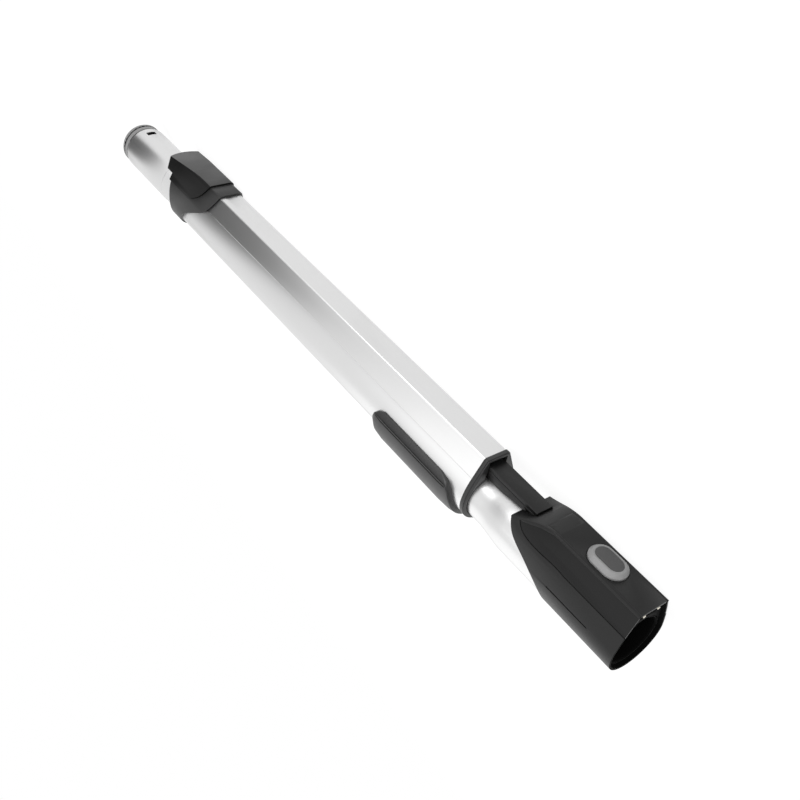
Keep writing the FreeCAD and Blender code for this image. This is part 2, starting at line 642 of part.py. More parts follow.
def make_housing():
    """Main shell of the coupling, with rail pocket, chamber and panel seats."""
    body = housing_mass()
    body = body.cut(inner_mass(0.02, FLARE_START - 1, INNER_END))
    body = body.cut(rod(FLARE_RADIUS + 0.02, INNER_END - 1, INNER_END + 0.2))
    body = body.cut(rod(SOCKET_RADIUS + 1.52, SOCKET_START, WAND_LENGTH + 1))
    body = body.cut(along_x(grown(coupling_section(), -MOUTH_WALL), SOCKET_END, WAND_LENGTH + 1))
    pocket = block(HOUSING_FRONT - 16, RAIL_END + 0.6, -RAIL_HALF - 0.25, RAIL_HALF + 0.25, 10, 40)
    body = body.cut(pocket)
    chamber = block(CHAMBER_START, WAND_LENGTH + 1, -CHAMBER_HALF, CHAMBER_HALF, CHAMBER_FLOOR, 50)
    body = body.cut(chamber)
    wires = block(RAIL_END, CHAMBER_START + 1, -4.8, 4.8, 18.9, 21.4)
    body = body.cut(wires)
    body = body.cut(cover_zone(0.02))
    body = body.cut(panel_blank(0.0, PANEL_DEPTH + 0.02))
    line = block(SLOT_LINE_START, SLOT_LINE_END, -30, 30, SLOT_LINE_Z - 0.35, SLOT_LINE_Z + 0.35)
    line = line.cut(along_x(grown(coupling_section(), -0.5), SLOT_LINE_START - 1, SLOT_LINE_END + 1))
    body = body.cut(line)
    hook_way = block(LATCH_PIVOT_X + 5.5, LATCH_PIVOT_X + 13.5, -4.3, 4.3, 10, CHAMBER_FLOOR + 1)
    body = body.cut(hook_way)
    body = body.cut(cross_rod(PIN_RADIUS + 0.02, -10.8, 10.8, LATCH_PIVOT_X, LATCH_PIVOT_Z))
    return body.removeSplitter()


def make_top_cover():
    """Flat cover over the chamber, with the oval hole for the button."""
    cover = housing_mass().common(cover_zone(0.0))
    cover = cover.cut(button_hole(0.3))
    return cover


def make_socket_sleeve():
    """Round liner that takes the nozzle's neck, with a keyway along its top."""
    outer = SOCKET_RADIUS + 1.5
    hold = FLARE_RADIUS - INNER_WALL - 0.02
    sleeve = turned([
        (SOCKET_START, SOCKET_RADIUS), (SOCKET_START, min(outer, hold)), (SOCKET_END - 0.4, min(outer, hold)),
        (SOCKET_END, SOCKET_RADIUS + 1.0), (SOCKET_END, SOCKET_RADIUS + 0.5), (SOCKET_END - 1.2, SOCKET_RADIUS)])
    keyway = block(KEYWAY_START, WAND_LENGTH + 1, -KEYWAY_HALF, KEYWAY_HALF, 5, 25)
    return sleeve.cut(keyway)


def make_button():
    """Button body: sloping oval rim and guide skirt, hollow from below."""
    low = stadium(BUTTON_X, BUTTON_HALF_LENGTH, BUTTON_HALF_WIDTH)
    high = stadium(BUTTON_X, PAD_HALF_LENGTH + 1.4, PAD_HALF_WIDTH + 1.4)
    low.translate(V(0, 0, HOUSING_TOP + 0.9))
    high.translate(V(0, 0, BUTTON_TOP))
    crown = Part.makeLoft([low, high], True, True)
    skirt = plan_cut(stadium(BUTTON_X, BUTTON_HALF_LENGTH, BUTTON_HALF_WIDTH), 25.6, HOUSING_TOP + 0.9)
    body = crown.fuse(skirt)
    inside = plan_cut(stadium(BUTTON_X, BUTTON_HALF_LENGTH - 1.3, BUTTON_HALF_WIDTH - 1.3), 20, 30.4)
    body = body.cut(inside)
    over_latch = block(LATCH_PIVOT_X - 7, LATCH_PIVOT_X + 3, -3.5, 3.5, 24, 25.8 + BUTTON_TRAVEL)
    body = body.cut(over_latch)
    seat = plan_cut(stadium(BUTTON_X, PAD_HALF_LENGTH + 0.02, PAD_HALF_WIDTH + 0.02), 31.8, 40)
    stem = block(LATCH_PIVOT_X - LATCH_ARM - 0.8, LATCH_PIVOT_X - LATCH_ARM + 0.8, -2.8, 2.8, 25.2, 31.0)
    guide = Part.makeCylinder(2.8, 3.8, V(BUTTON_SPRING_X, 0, 26.8), V(0, 0, 1))
    return body.fuse(stem).fuse(guide).cut(seat).removeSplitter()


def make_button_pad():
    """Softer pad set into the button's top, slightly domed."""
    pad = plan_cut(stadium(BUTTON_X, PAD_HALF_LENGTH, PAD_HALF_WIDTH), 31.8, BUTTON_TOP + 0.5)
    dome = cross_rod(90.0, -20, 20, BUTTON_X, BUTTON_TOP + 0.5 - 90.0)
    return pad.common(dome)


def make_button_spring():
    """Coil spring that pushes the button up."""
    return coil(2.3, SPRING_WIRE, 2.2, 6.6, V(BUTTON_SPRING_X, 0, CHAMBER_FLOOR + 0.4), V(0, 0, 1))


def make_latch():
    """Two-armed latch: the button tips it and its hook leaves the socket."""
    px = LATCH_PIVOT_X
    pz = LATCH_PIVOT_Z
    arm = side_cut(
        [(px - LATCH_ARM - 2.5, 23.6), (px - 3.0, 20.6), (px + 3.0, 20.6), (px + 7.0, 19.6), (px + 7.0, 17.6),
         (px + 8.2, LATCH_HOOK_Z), (px + 10.0, LATCH_HOOK_Z),
         (px + 12.0, 17.5), (px + 12.0, 21.8), (px + 3.0, 25.2), (px - 3.0, 25.2), (px - LATCH_ARM - 2.5, 24.8)],
        -3.0, 3.0)
    return arm.cut(cross_rod(PIN_RADIUS + 0.05, -10, 10, px, pz))


def make_pivot_pin():
    """Steel pin that the latch turns on."""
    return cross_rod(PIN_RADIUS, -10.7, 10.7, LATCH_PIVOT_X, LATCH_PIVOT_Z)


def make_contact_block():
    """Plastic block under the cover that holds both contact pins."""
    high = HOUSING_TOP - COVER_THICKNESS - 0.1
    body = block(CONTACT_START, SOCKET_END - 0.5, -8.2, 8.2, CHAMBER_FLOOR + 0.05, high)
    body = body.cut(block(CONTACT_START - 7, WAND_LENGTH + 4, -5.0, 5.0, 10, CHAMBER_FLOOR + 1.8))
    for y in (-CONTACT_Y, CONTACT_Y):
        body = body.cut(rod(PIN_RADIUS + 0.02, CONTACT_START - 7, WAND_LENGTH + 4, y, CONTACT_Z))
    return body


def make_contact_pins():
    """The two contact pins that meet the nozzle's plug."""
    pins = []
    for y in (-CONTACT_Y, CONTACT_Y):
        pin = rod(PIN_RADIUS, PIN_START, WAND_LENGTH - 0.4, y, CONTACT_Z)
        pins.append(pin)
    return Part.makeCompound(pins)


os.makedirs("parts", exist_ok=True)
panel_left, panel_right = make_panels()
write("upper_tube", make_upper_tube())
write("end_bush", make_end_bush())
write("outer_tube", make_outer_tube())
write("collar", make_collar())
write("release_slider", make_slider())
write("pull_strip", make_pull_strip())
write("slider_spring", make_slider_spring())
write("trim_ring", make_trim_ring())
write("lower_guide", make_lower_guide())
write("catch_leaf", make_catch_leaf())
write("parking_clip", make_parking_clip())
write("clip_rivets", make_clip_rivets())
write("inner_tube", make_inner_tube())
write("tube_seal", make_tube_seal())
write("rail", make_rail())
write("rail_rivets", make_rail_rivets())
write("lead_wires", make_lead_wires())
write("coupling_housing", make_housing())
write("top_cover", make_top_cover())
write("panel_left", panel_left)
write("panel_right", panel_right)
write("socket_sleeve", make_socket_sleeve())
write("button_rim", make_button())
write("button_pad", make_button_pad())
write("button_spring", make_button_spring())
write("latch", make_latch())
write("pivot_pin", make_pivot_pin())
write("contact_block", make_contact_block())
write("contact_pins", make_contact_pins())
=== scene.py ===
import json
import math

import bpy
from bpy.props import FloatProperty, FloatVectorProperty, PointerProperty
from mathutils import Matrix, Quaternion, Vector


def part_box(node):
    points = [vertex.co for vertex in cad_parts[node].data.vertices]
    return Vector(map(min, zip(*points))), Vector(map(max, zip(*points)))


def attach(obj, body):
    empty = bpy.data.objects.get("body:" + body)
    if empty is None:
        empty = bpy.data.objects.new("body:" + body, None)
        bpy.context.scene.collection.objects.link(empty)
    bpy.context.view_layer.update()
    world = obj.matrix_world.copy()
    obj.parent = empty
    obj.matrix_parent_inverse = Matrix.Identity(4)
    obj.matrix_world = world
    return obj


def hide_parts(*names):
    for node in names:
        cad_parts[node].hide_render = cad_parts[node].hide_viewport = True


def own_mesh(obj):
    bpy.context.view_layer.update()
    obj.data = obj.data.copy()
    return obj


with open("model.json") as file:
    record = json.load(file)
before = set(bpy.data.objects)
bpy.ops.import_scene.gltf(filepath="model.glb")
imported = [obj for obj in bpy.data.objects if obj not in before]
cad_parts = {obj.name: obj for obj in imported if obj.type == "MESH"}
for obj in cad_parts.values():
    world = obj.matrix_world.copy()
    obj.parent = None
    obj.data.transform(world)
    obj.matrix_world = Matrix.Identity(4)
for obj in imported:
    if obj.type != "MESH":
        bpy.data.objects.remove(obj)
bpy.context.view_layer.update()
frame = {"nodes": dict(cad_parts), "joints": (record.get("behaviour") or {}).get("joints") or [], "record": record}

bl_info = {
    "name": "Telescopic vacuum wand",
    "version": (1, 0, 0),
    "blender": (4, 5, 0),
    "location": "View3D > Sidebar > Wand",
    "description": "Finishes a telescopic aluminium vacuum wand and sets it on a white studio stage",
    "category": "Object",
}

# All lengths in this script are in metres, in the frame of the solids.
# The wand lies along X. Its own top points the way the button comes up.

RECORD = frame["record"]
BODY_OF = {node: body for body, nodes in RECORD["behaviour"]["bodies"].items() for node in nodes}
TUBE_LOW, TUBE_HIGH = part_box("upper_tube")
TUBE_AXIS = (TUBE_LOW + TUBE_HIGH) / 2
BUTTON_DOWN = next(Vector(joint["axis"]) for joint in frame["joints"] if joint["name"] == "button_press")

# How the solids' meshes are cleaned before their edges are softened
WELD_DISTANCE = 2e-6
FLAT_ANGLE = math.radians(0.3)
SHARP_ANGLE = math.radians(38)

# A face gets its second material where the cosine between its normal and the side that it should face is above
# these: the slider's top gets a painted highlight, the inside of the mouth painted shade
SLIDER_HIGHLIGHT_COSINE = 0.9
MOUTH_END_COSINE = 0.8
# Faces nearer than this to the mouth's plane are its rim, which keeps the housing's colour
MOUTH_RIM_DEPTH = 0.001


def colour_property(name, description, grey):
    """A named colour whose default is an even grey."""
    return FloatVectorProperty(
        name=name, description=description, subtype="COLOR", size=3, min=0.0, max=1.0,
        default=(grey, grey, grey))


def length_property(name, description, value):
    """A named length in metres."""
    return FloatProperty(name=name, description=description, default=value, min=0.0, precision=5,
                         subtype="DISTANCE", unit="LENGTH")


class WandSizes(bpy.types.PropertyGroup):
    """Sizes of the edges and of the fine surface detail."""

    metal_edge: length_property("Metal edge", "How far the cut edges of metal pieces are rounded", 0.00012)
    moulded_edge: length_property(
        "Moulded edge", "How far the edges of moulded plastic are rounded", 0.00035)
    panel_edge: length_property("Panel edge", "How far the edges of the side panels are rounded", 0.00065)
    sleeve_edge: length_property(
        "Sleeve edge", "How far the edges of the socket's sleeve are rounded", 0.00012)
    button_edge: length_property("Button edge", "How far the edges of the button's rim are rounded", 0.0006)
    skirt_height: length_property("Skirt height", "How much of the button's skirt is drawn in", 0.0015)
    skirt_clearance: length_property(
        "Skirt clearance", "How far the skirt is drawn in on every side", 0.00006)
    # The bush's grooves and bore and the inside of the mouth get painted shade within these
    bush_painted_shade_radius: length_property(
        "Bush painted shade radius", "The end bush is dark where it is nearer to the axis", 0.0167)
    mouth_painted_shade_depth: length_property(
        "Mouth painted shade depth", "How far in from the mouth its inside is dark", 0.01)
    grain_size: length_property("Grain size", "Size of one grain in the moulded plastic's texture", 0.0006)
    grain_depth: length_property("Grain depth", "Height of the moulded plastic's texture", 0.00005)
    draw_line_gap: length_property(
        "Draw line gap", "Distance between the fine lines along drawn metal", 0.0003)
    smooth_angle: FloatProperty(
        name="Smooth angle", description="Faces that meet at less than this angle shade as one surface",
        default=math.radians(34), min=0.0, max=math.pi, subtype="ANGLE", unit="ROTATION")


class WandColours(bpy.types.PropertyGroup):
    """Colours of the wand's materials."""

    aluminium: colour_property("Aluminium", "Satin anodised tubes", 0.72)
    # The collar's black also paints the highlight on the slider's top, lighter than the slider's own black
    collar_black: colour_property("Collar black", "Collar and parking clip", 0.016)
    slider_black: colour_property("Slider black", "Release slider", 0.007)
    housing_black: colour_property("Housing black", "Rail and coupling housing", 0.010)
    panel_black: colour_property("Panel black", "Smoother side panels of the housing", 0.005)
    # Near-black with almost no gloss: painted shade inside the mouth and in the end bush's grooves and bore
    painted_shade_black: colour_property("Painted shade black", "Inside of the coupling and of the end bush", 0.001)
    trim_grey: colour_property("Trim grey", "Ring at the outer tube's lower end", 0.022)
    bush_grey: colour_property("Bush grey", "Bush in the wand's upper end", 0.34)
    rim_grey: colour_property("Rim grey", "Rim of the button", 0.38)
    pad_grey: colour_property("Pad grey", "Soft pad in the button", 0.105)
    guide_white: colour_property("Guide white", "Sliding guide, seal and latch", 0.55)
    steel: colour_property("Steel", "Springs, strip, leaf and pin", 0.56)
    wire_grey: colour_property("Wire grey", "Covers of the two leads", 0.2)
    brass: FloatVectorProperty(
        name="Brass", description="Contact pins", subtype="COLOR", size=3, min=0.0, max=1.0,
        default=(0.74, 0.69, 0.57))


class WandStage(bpy.types.PropertyGroup):
    """The set, its lamps and the camera."""

    floor_size: length_property("Floor size", "Side of the white floor", 12.0)
    fill_level: FloatProperty(name="Fill level", description="Even light from all round",
                              default=0.55, min=0.0)
    flag_level: FloatProperty(
        name="Flag level", description="How bright the dim side of the set looks in reflections",
        default=0.10, min=0.0, max=1.0)
    key_power: FloatProperty(name="Key power", description="Power of the large lamp over the coupling",
                             default=5.0, min=0.0, unit="POWER")
    back_power: FloatProperty(name="Back power", description="Power of the lamp behind the wand",
                              default=4.0, min=0.0, unit="POWER")
    front_power: FloatProperty(name="Front power", description="Power of the low lamp before the coupling",
                               default=3.0, min=0.0, unit="POWER")
    lens: FloatProperty(name="Lens", description="Focal length of the camera in millimetres",
                        default=45.0, min=1.0)


# Selecting and finishing meshes


def select_only(obj):
    """Selects one object and nothing else."""
    bpy.ops.object.select_all(action="DESELECT")
    obj.select_set(True)
    bpy.context.view_layer.objects.active = obj


def finished(node, material, edge, segments=2):
    """A welded copy of a solid, with softened edges, that is shown in its place."""
    sizes = bpy.context.scene.wand_sizes
    solid = frame["nodes"][node]
    piece = solid.copy()
    piece.data = solid.data.copy()
    piece.name = "finished_" + node
    piece.parent = None
    bpy.context.scene.collection.objects.link(piece)
    select_only(piece)
    if piece.data.has_custom_normals:
        bpy.ops.mesh.customdata_custom_splitnormals_clear()
    bpy.ops.object.mode_set(mode="EDIT")
    bpy.ops.mesh.select_all(action="SELECT")
    bpy.ops.mesh.remove_doubles(threshold=WELD_DISTANCE)
    bpy.ops.mesh.dissolve_limited(angle_limit=FLAT_ANGLE)
    bpy.ops.object.mode_set(mode="OBJECT")
    if edge > 0:
        soften = piece.modifiers.new("soft edges", "BEVEL")
        soften.width = edge
        soften.segments = segments
        soften.limit_method = "ANGLE"
        soften.angle_limit = SHARP_ANGLE
        bpy.ops.object.modifier_apply(modifier=soften.name)
    bpy.ops.object.shade_smooth_by_angle(angle=sizes.smooth_angle)
    piece.data.materials.clear()
    piece.data.materials.append(material)
    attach(piece, BODY_OF[node])
    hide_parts(node)
    return piece


def shorten(spring):
    """Gives a spring a mesh of its own."""
    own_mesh(spring)


def draw_in(piece, depth, distance):
    """Draws the lowest part of a piece in by a distance on every side, to depth over its foot."""
    lowest = max(vertex.co.dot(BUTTON_DOWN) for vertex in piece.data.vertices)
    select_only(piece)
    bpy.ops.object.mode_set(mode="EDIT")
    bpy.ops.mesh.select_mode(type="VERT")
    bpy.ops.mesh.select_all(action="DESELECT")
    bpy.ops.object.mode_set(mode="OBJECT")
    for vertex in piece.data.vertices:
        vertex.select = vertex.co.dot(BUTTON_DOWN) > lowest - depth
    bpy.ops.object.mode_set(mode="EDIT")
    bpy.ops.transform.shrink_fatten(value=-distance, use_even_offset=True)
    bpy.ops.object.mode_set(mode="OBJECT")


def paint(piece, material, chosen):
    """Gives a second material to the faces for which chosen(face) is true."""
    piece.data.materials.append(material)
    for face in piece.data.polygons:
        if chosen(face):
            face.material_index = 1


def from_axis(point):
    """The way from the wand's axis to a point, square to the axis."""
    return Vector((0.0, point.y - TUBE_AXIS.y, point.z - TUBE_AXIS.z))


# Materials


# The draw lines' pattern is squeezed by this along the wand, so that it shows as long lines
DRAW_LINE_STRETCH = 0.012


def group_socket(group, name, direction, kind, value=None):
    """Adds one named input or output to a node group."""
    socket = group.interface.new_socket(name=name, in_out=direction, socket_type=kind)
    if value is not None:
        socket.default_value = value


def moulded_grain_group():
    """Fine spark-eroded texture of moulded plastic: a height and a broad mottle."""
    found = bpy.data.node_groups.get("Moulded grain")
    if found:
        return found
    group = bpy.data.node_groups.new("Moulded grain", "ShaderNodeTree")
    group_socket(group, "Grains per metre", "INPUT", "NodeSocketFloat", 2000.0)
    group_socket(group, "Height", "OUTPUT", "NodeSocketFloat")
    group_socket(group, "Mottle", "OUTPUT", "NodeSocketFloat")
    nodes, links = group.nodes, group.links
    entry = nodes.new("NodeGroupInput")
    leave = nodes.new("NodeGroupOutput")
    place = nodes.new("ShaderNodeTexCoord")
    grain = nodes.new("ShaderNodeTexNoise")
    grain.inputs["Detail"].default_value = 2.0
    grain.inputs["Roughness"].default_value = 0.6
    mottle = nodes.new("ShaderNodeTexNoise")
    mottle.inputs["Scale"].default_value = 55.0
    mottle.inputs["Detail"].default_value = 3.0
    links.new(place.outputs["Object"], grain.inputs["Vector"])
    links.new(place.outputs["Object"], mottle.inputs["Vector"])
    links.new(entry.outputs["Grains per metre"], grain.inputs["Scale"])
    links.new(grain.outputs["Fac"], leave.inputs["Height"])
    links.new(mottle.outputs["Fac"], leave.inputs["Mottle"])
    return group


def draw_lines_group():
    """Fine lines along a drawn or rolled piece: a height and a broad, faint cloudiness."""
    found = bpy.data.node_groups.get("Draw lines")
    if found:
        return found
    group = bpy.data.node_groups.new("Draw lines", "ShaderNodeTree")
    group_socket(group, "Lines per metre", "INPUT", "NodeSocketFloat", 3000.0)
    group_socket(group, "Height", "OUTPUT", "NodeSocketFloat")
    group_socket(group, "Cloud", "OUTPUT", "NodeSocketFloat")
    nodes, links = group.nodes, group.links
    entry = nodes.new("NodeGroupInput")
    leave = nodes.new("NodeGroupOutput")
    place = nodes.new("ShaderNodeTexCoord")
    stretch = nodes.new("ShaderNodeMapping")
    stretch.inputs["Scale"].default_value = (DRAW_LINE_STRETCH, 1.0, 1.0)
    lines = nodes.new("ShaderNodeTexNoise")
    lines.inputs["Detail"].default_value = 3.0
    cloud = nodes.new("ShaderNodeTexNoise")
    cloud.inputs["Scale"].default_value = 30.0
    cloud.inputs["Detail"].default_value = 4.0
    links.new(place.outputs["Object"], stretch.inputs["Vector"])
    links.new(stretch.outputs["Vector"], lines.inputs["Vector"])
    links.new(entry.outputs["Lines per metre"], lines.inputs["Scale"])
    links.new(place.outputs["Object"], cloud.inputs["Vector"])
    links.new(lines.outputs["Fac"], leave.inputs["Height"])
    links.new(cloud.outputs["Fac"], leave.inputs["Cloud"])
    return group


def new_material(name):
    """An empty material with its Principled shader. Returns material, nodes, links and shader."""
    material = bpy.data.materials.new(name)
    material.use_nodes = True
    nodes, links = material.node_tree.nodes, material.node_tree.links
    return material, nodes, links, nodes["Principled BSDF"]


def spread(nodes, links, source, low, high):
    """Maps a 0 to 1 value to the range from low to high."""
    ranged = nodes.new("ShaderNodeMapRange")
    ranged.inputs["From Min"].default_value = 0.3
    ranged.inputs["From Max"].default_value = 0.7
    ranged.inputs["To Min"].default_value = low
    ranged.inputs["To Max"].default_value = high
    links.new(source, ranged.inputs["Value"])
    return ranged.outputs["Result"]


def tinted(nodes, links, source, colour, contrast):
    """The colour, varied a little lighter and darker by a 0 to 1 value."""
    ramp = nodes.new("ShaderNodeMix")
    ramp.data_type = "RGBA"
    ramp.inputs["A"].default_value = [c * (1 - contrast) for c in colour] + [1]
    ramp.inputs["B"].default_value = [min(1.0, c * (1 + contrast)) for c in colour] + [1]
    links.new(source, ramp.inputs["Factor"])
    return ramp.outputs["Result"]


def bumped(nodes, links, height, depth, shader):
    """Turns a height into the shader's surface relief."""
    bump = nodes.new("ShaderNodeBump")
    bump.inputs["Strength"].default_value = 1.0
    bump.inputs["Distance"].default_value = depth
    links.new(height, bump.inputs["Height"])
    links.new(bump.outputs["Normal"], shader.inputs["Normal"])


def drawn_metal(name, colour, roughness, depth):
    """Satin metal with fine lines along the wand."""
    sizes = bpy.context.scene.wand_sizes
    material, nodes, links, shader = new_material(name)
    lines = nodes.new("ShaderNodeGroup")
    lines.node_tree = draw_lines_group()
    lines.inputs["Lines per metre"].default_value = 1 / sizes.draw_line_gap
    shader.inputs["Metallic"].default_value = 1.0
    links.new(tinted(nodes, links, lines.outputs["Cloud"], colour, 0.02), shader.inputs["Base Color"])
    links.new(spread(nodes, links, lines.outputs["Height"], roughness - 0.015, roughness + 0.02),
              shader.inputs["Roughness"])
    bumped(nodes, links, lines.outputs["Height"], depth, shader)
    return material


def moulded(name, colour, roughness, depth, specular=0.5):
    """Moulded plastic or rubber with a fine even grain."""
    sizes = bpy.context.scene.wand_sizes
    material, nodes, links, shader = new_material(name)
    grain = nodes.new("ShaderNodeGroup")
    grain.node_tree = moulded_grain_group()
    grain.inputs["Grains per metre"].default_value = 1 / sizes.grain_size
    links.new(tinted(nodes, links, grain.outputs["Mottle"], colour, 0.08), shader.inputs["Base Color"])
    links.new(spread(nodes, links, grain.outputs["Mottle"], roughness - 0.03, roughness + 0.03),
              shader.inputs["Roughness"])
    shader.inputs["Specular IOR Level"].default_value = specular
    bumped(nodes, links, grain.outputs["Height"], depth, shader)
    return material


def shared_material(key):
    """The wand's finish of that name, made the first time that it is asked for."""
    found = bpy.data.materials.get(key)
    if found:
        return found
    sizes = bpy.context.scene.wand_sizes
    colours = bpy.context.scene.wand_colours
    depth = sizes.grain_depth
    makers = {
        "satin aluminium": lambda: drawn_metal(key, colours.aluminium, 0.33, 6e-7),
        "collar plastic": lambda: moulded(key, colours.collar_black, 0.42, depth),
        "slider plastic": lambda: moulded(key, colours.slider_black, 0.36, depth * 0.6, 0.18),
        # Painted highlight: the slider's top faces get the collar's lighter black and a stronger gloss
        "slider top painted highlight": lambda: moulded(key, colours.collar_black, 0.42, depth, 0.8),
        "clip plastic": lambda: moulded(key, colours.collar_black, 0.42, depth, 0.75),
        "housing plastic": lambda: moulded(key, colours.housing_black, 0.38, depth * 0.7, 0.3),
        "panel plastic": lambda: moulded(key, colours.panel_black, 0.24, depth * 0.1, 0.24),
        # Painted shade: near-black with almost no gloss, for the mouth's inside and the bush's grooves and bore
        "painted shade plastic": lambda: moulded(key, colours.painted_shade_black, 0.6, depth * 0.3, 0.04),
        "trim plastic": lambda: moulded(key, colours.trim_grey, 0.42, depth * 0.6),
        "bush plastic": lambda: moulded(key, colours.bush_grey, 0.45, depth * 0.4),
        "rim plastic": lambda: moulded(key, colours.rim_grey, 0.45, depth * 0.5),
        "pad rubber": lambda: moulded(key, colours.pad_grey, 0.6, depth, 0.35),
        "guide plastic": lambda: moulded(key, colours.guide_white, 0.35, depth * 0.2),
        "wire cover": lambda: moulded(key, colours.wire_grey, 0.4, depth * 0.2),
        "bright steel": lambda: drawn_metal(key, colours.steel, 0.22, 5e-7),
        "contact brass": lambda: drawn_metal(key, colours.brass, 0.2, 5e-7),
    }
    return makers[key]()


# One operator for each group of pieces


class PieceOperator(bpy.types.Operator):
    """Base of the operators that finish a group of pieces."""

    bl_options = {"REGISTER", "UNDO"}
    metal = ()
    moulded = ()

    def finish_all(self, context):
        """Finishes each listed node with its material and its kind of edge."""
        sizes = context.scene.wand_sizes
        for node, key in self.metal:
            finished(node, shared_material(key), sizes.metal_edge)
        for node, key in self.moulded:
            finished(node, shared_material(key), sizes.moulded_edge)
        return {"FINISHED"}


class WAND_OT_tubes(PieceOperator):
    """Finish the three aluminium tubes"""

    bl_idname = "wand.tubes"
    bl_label = "Aluminium tubes"
    metal = tuple((node, "satin aluminium") for node in ("upper_tube", "outer_tube", "inner_tube"))

    def execute(self, context):
        return self.finish_all(context)


class WAND_OT_upper_end(PieceOperator):
    """Finish the bush in the upper end, with painted shade in its grooves and bore, and the seal"""

    bl_idname = "wand.upper_end"
    bl_label = "End bush and seal"
    moulded = (("tube_seal", "guide plastic"),)

    def execute(self, context):
        sizes = context.scene.wand_sizes
        bush = finished("end_bush", shared_material("bush plastic"), sizes.metal_edge)
        # Faces near the axis, in the grooves and the bore, get painted shade
        paint(bush, shared_material("painted shade plastic"),
              lambda face: from_axis(face.center).length < sizes.bush_painted_shade_radius)
        return self.finish_all(context)


class WAND_OT_collar(PieceOperator):
    """Finish the collar and the release slider, with a painted highlight on the slider's top"""

    bl_idname = "wand.collar"
    bl_label = "Collar and slider"
    moulded = (("collar", "collar plastic"),)

    def execute(self, context):
        sizes = context.scene.wand_sizes
        slider = finished("release_slider", shared_material("slider plastic"), sizes.moulded_edge)
        # The slider's upward faces get a painted highlight
        paint(slider, shared_material("slider top painted highlight"),
              lambda face: face.normal.dot(BUTTON_DOWN) < -SLIDER_HIGHLIGHT_COSINE)
        return self.finish_all(context)


class WAND_OT_lock(PieceOperator):
    """Finish the pull strip, its spring and the catch leaf"""

    bl_idname = "wand.lock"
    bl_label = "Telescoping lock"
    metal = (("pull_strip", "bright steel"), ("catch_leaf", "bright steel"))

    def execute(self, context):
        spring = finished("slider_spring", shared_material("bright steel"), 0.0)
        shorten(spring)
        return self.finish_all(context)


class WAND_OT_lower_end(PieceOperator):
    """Finish the trim ring, the guide, the parking clip and its rivets"""

    bl_idname = "wand.lower_end"
    bl_label = "Trim ring and clip"
    metal = (("clip_rivets", "satin aluminium"),)
    moulded = (("trim_ring", "trim plastic"), ("lower_guide", "guide plastic"),
               ("parking_clip", "clip plastic"))

    def execute(self, context):
        return self.finish_all(context)


class WAND_OT_rail(PieceOperator):
    """Finish the notched rail, its rivets and the two leads"""

    bl_idname = "wand.rail"
    bl_label = "Rail and leads"
    metal = (("rail_rivets", "satin aluminium"),)
    moulded = (("rail", "housing plastic"), ("lead_wires", "wire cover"))

    def execute(self, context):
        return self.finish_all(context)


class WAND_OT_housing(PieceOperator):
    """Finish the coupling housing, its cover, panels and socket, with painted shade inside the mouth"""

    bl_idname = "wand.housing"
    bl_label = "Coupling housing"
    moulded = (("top_cover", "housing plastic"),)

    def execute(self, context):
        sizes = context.scene.wand_sizes
        housing = finished("coupling_housing", shared_material("housing plastic"), sizes.moulded_edge)
        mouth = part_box("coupling_housing")[1].x

        # Faces inside the mouth, past its rim, get painted shade
        def painted_shade_in_mouth(face):
            deep = face.center.x < mouth - MOUTH_RIM_DEPTH and face.normal.x > MOUTH_END_COSINE
            inward = face.normal.dot(from_axis(face.center)) < 0
            return face.center.x > mouth - sizes.mouth_painted_shade_depth and (deep or inward)

        paint(housing, shared_material("painted shade plastic"), painted_shade_in_mouth)
        for node in ("panel_left", "panel_right"):
            finished(node, shared_material("panel plastic"), sizes.panel_edge, 4)
        # The socket's sleeve, a black part, is darkened further with painted shade
        finished("socket_sleeve", shared_material("painted shade plastic"), sizes.sleeve_edge)
        return self.finish_all(context)


class WAND_OT_button(PieceOperator):
    """Finish the button's rim and pad, with a wider round on the rim"""

    bl_idname = "wand.button"
    bl_label = "Button"

    def execute(self, context):
        sizes = context.scene.wand_sizes
        rim = finished("button_rim", shared_material("rim plastic"), sizes.button_edge, 3)
        draw_in(rim, sizes.skirt_height, sizes.skirt_clearance)
        finished("button_pad", shared_material("pad rubber"), sizes.moulded_edge, 3)
        return {"FINISHED"}


class WAND_OT_latch(PieceOperator):
    """Finish the latch, its pin and its spring"""

    bl_idname = "wand.latch"
    bl_label = "Latch"
    metal = (("pivot_pin", "bright steel"),)
    moulded = (("latch", "guide plastic"),)

    def execute(self, context):
        spring = finished("button_spring", shared_material("bright steel"), 0.0)
        shorten(spring)
        return self.finish_all(context)


class WAND_OT_contacts(PieceOperator):
    """Finish the contact block and its two pins"""

    bl_idname = "wand.contacts"
    bl_label = "Nozzle contacts"
    metal = (("contact_pins", "contact brass"),)
    # The contact block, a black part, is darkened further with the mouth's painted shade
    moulded = (("contact_block", "painted shade plastic"),)

    def execute(self, context):
        return self.finish_all(context)


# The stage


CAMERA_PLACE = Vector((0.4332, 0.5228, 0.1569))
CAMERA_AIM = Vector((0.0790, 0.0, 0.0217))
CAMERA_ROLL = math.radians(-126.72)
# The middle of the set's dim side, and the cosines to it where the set begins to dim and is dimmest
DIM_SIDE = Vector((-0.97, 0.24, 0.06)).normalized()
DIM_BEGIN, DIM_FULL = 0.78, 0.88
# Where the floor is seen, its own glow and the grey that takes the lamps' light and the shadow
FLOOR_GLOW, FLOOR_SHADE = 0.90, 0.2
# The floor's grey for all the other light that bounces off it
FLOOR_WHITE = 0.8
# Each lamp's place, aim and side
LAMPS = {
    "key lamp": ((0.55, 0.75, 1.15), (0.15, 0.0, 0.02), 1.8),
    "back lamp": ((0.0, -1.0, 1.2), (0.0, 0.0, 0.02), 1.8),
    "front lamp": ((-0.18, 1.25, 0.2), (0.25, 0.0, 0.03), 0.6),
}


